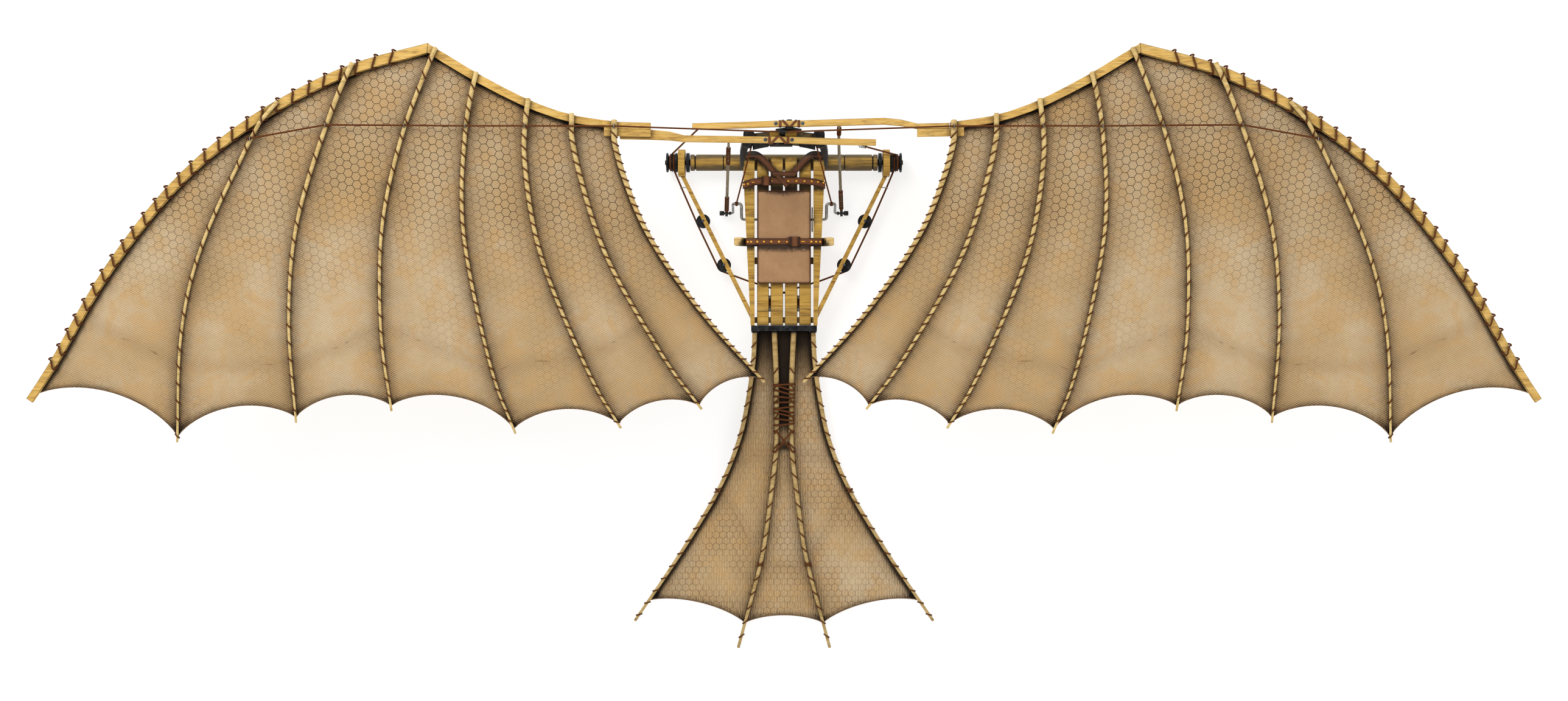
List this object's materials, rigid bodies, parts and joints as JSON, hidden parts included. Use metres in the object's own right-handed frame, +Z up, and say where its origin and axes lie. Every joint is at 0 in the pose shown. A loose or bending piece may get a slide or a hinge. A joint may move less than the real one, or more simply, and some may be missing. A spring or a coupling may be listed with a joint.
{
  "type": "man-powered flapping-wing flying machine",
  "caption": "Flying machine with ribbed cloth bat wings on crossed levers, a pilot's board with belts, an iron yoke, a rope drum, cranks with push rods and a fan tail.",
  "frame": {"origin": "on the floor, under the middle of the bounding box", "axes": "+X to the machine's right along the span, +Y to its nose, +Z up"},
  "size_m": [10.3788, 4.3338, 1.2619],
  "materials": {
    "wing_wood": "pale yellow oiled wood, straight grain",
    "board_wood": "orange-yellow oiled wood",
    "rod_wood": "grey-brown worn wood",
    "iron": "black forged iron",
    "grey_steel": "dull grey steel",
    "cushion_leather": "rosy brown grained leather",
    "strap_leather": "dark brown harness leather",
    "wing_cloth": "tan canvas under a fine net, scorched brown at its edges"
  },
  "bodies": {
    "frame": {"deck": "board_wood", "rail_left": "board_wood", "rail_right": "board_wood", "cushion": "cushion_leather", "belt_front": "strap_leather", "belt_rear": "strap_leather", "harness": "strap_leather", "strap_bow": "rod_wood", "bearing_block_left": "board_wood", "bearing_block_right": "board_wood", "strut_left": "board_wood", "strut_right": "board_wood", "cleat_left": "grey_steel", "cleat_right": "grey_steel", "yoke_left": "iron", "yoke_right": "iron", "cross_beam": "wing_wood", "pivot_bracket": "iron", "tail_bracket": "iron", "tail_rib_outer_left": "wing_wood", "tail_rib_outer_right": "wing_wood", "tail_rib_inner_left": "wing_wood", "tail_rib_inner_right": "wing_wood", "tail_cloth": "wing_cloth"},
    "wing_left": {"wing_left_lever": "wing_wood", "wing_left_arm_spar": "wing_wood", "wing_left_outer_spar": "wing_wood", "wing_left_rib_1": "wing_wood", "wing_left_rib_2": "wing_wood", "wing_left_rib_3": "wing_wood", "wing_left_rib_4": "wing_wood", "wing_left_rib_5": "wing_wood", "wing_left_rib_6": "wing_wood", "wing_left_rib_7": "wing_wood", "wing_left_cloth": "wing_cloth"},
    "wing_right": {"wing_right_lever": "wing_wood", "wing_right_arm_spar": "wing_wood", "wing_right_outer_spar": "wing_wood", "wing_right_rib_1": "wing_wood", "wing_right_rib_2": "wing_wood", "wing_right_rib_3": "wing_wood", "wing_right_rib_4": "wing_wood", "wing_right_rib_5": "wing_wood", "wing_right_rib_6": "wing_wood", "wing_right_rib_7": "wing_wood", "wing_right_cloth": "wing_cloth"},
    "crank": {"crankshaft": "grey_steel", "crank_wheel": "wing_wood"},
    "rod_left": {"push_rod_left": "rod_wood"},
    "rod_right": {"push_rod_right": "rod_wood"},
    "drum": {"drum_barrel": "board_wood", "drum_axle": "iron"},
    "roller_front_left": {"roller_front_left": "iron"},
    "roller_front_right": {"roller_front_right": "iron"},
    "roller_rear_left": {"roller_rear_left": "iron"},
    "roller_rear_right": {"roller_rear_right": "iron"},
    "yoke_pulley_left": {"yoke_pulley_left": "iron"},
    "yoke_pulley_right": {"yoke_pulley_right": "iron"}
  },
  "joints": [
    {"name": "wing_left_flap", "type": "hinge", "parent": "frame", "child": "wing_left", "pos_m": [-0.038, 1.5435, 0.78], "axis": [0, 1, 0], "range_deg": [-8, 20]},
    {"name": "wing_right_flap", "type": "hinge", "parent": "frame", "child": "wing_right", "pos_m": [0.038, 1.658, 0.78], "axis": [0, -1, 0], "range_deg": [-8, 20]},
    {"name": "crank_turn", "type": "hinge", "parent": "frame", "child": "crank", "pos_m": [0, 1.031, 0.14], "axis": [1, 0, 0], "range_deg": [-22.4, 56]},
    {"name": "rod_left_swing", "type": "hinge", "parent": "crank", "child": "rod_left", "pos_m": [-0.429, 1.085, 0.05], "axis": [1, 0, 0], "range_deg": [-50.4, 20.16]},
    {"name": "rod_right_swing", "type": "hinge", "parent": "crank", "child": "rod_right", "pos_m": [0.429, 1.085, 0.05], "axis": [1, 0, 0], "range_deg": [-50.8, 20.32]},
    {"name": "drum_turn", "type": "hinge", "parent": "frame", "child": "drum", "pos_m": [0, 1.458, 0.095], "axis": [1, 0, 0], "continuous": true},
    {"name": "roller_front_left_turn", "type": "hinge", "parent": "frame", "child": "roller_front_left", "pos_m": [-0.601, 1.022, 0.09], "axis": [0, 0, 1], "continuous": true},
    {"name": "roller_front_right_turn", "type": "hinge", "parent": "frame", "child": "roller_front_right", "pos_m": [0.601, 1.022, 0.09], "axis": [0, 0, 1], "continuous": true},
    {"name": "roller_rear_left_turn", "type": "hinge", "parent": "frame", "child": "roller_rear_left", "pos_m": [-0.445, 0.695, 0.116], "axis": [0, 0, 1], "continuous": true},
    {"name": "roller_rear_right_turn", "type": "hinge", "parent": "frame", "child": "roller_rear_right", "pos_m": [0.445, 0.695, 0.116], "axis": [0, 0, 1], "continuous": true},
    {"name": "yoke_pulley_left_turn", "type": "hinge", "parent": "frame", "child": "yoke_pulley_left", "pos_m": [-0.243, 1.597, 0.631], "axis": [0, 0, 1], "continuous": true},
    {"name": "yoke_pulley_right_turn", "type": "hinge", "parent": "frame", "child": "yoke_pulley_right", "pos_m": [0.243, 1.597, 0.631], "axis": [0, 0, 1], "continuous": true}
  ],
  "couplings": [
    {"joint": "wing_right_flap", "follows": "wing_left_flap", "ratio": 1},
    {"joint": "crank_turn", "follows": "wing_left_flap", "ratio": 2.8},
    {"joint": "rod_left_swing", "follows": "wing_left_flap", "ratio": -2.52},
    {"joint": "rod_right_swing", "follows": "wing_left_flap", "ratio": -2.54}
  ]
}
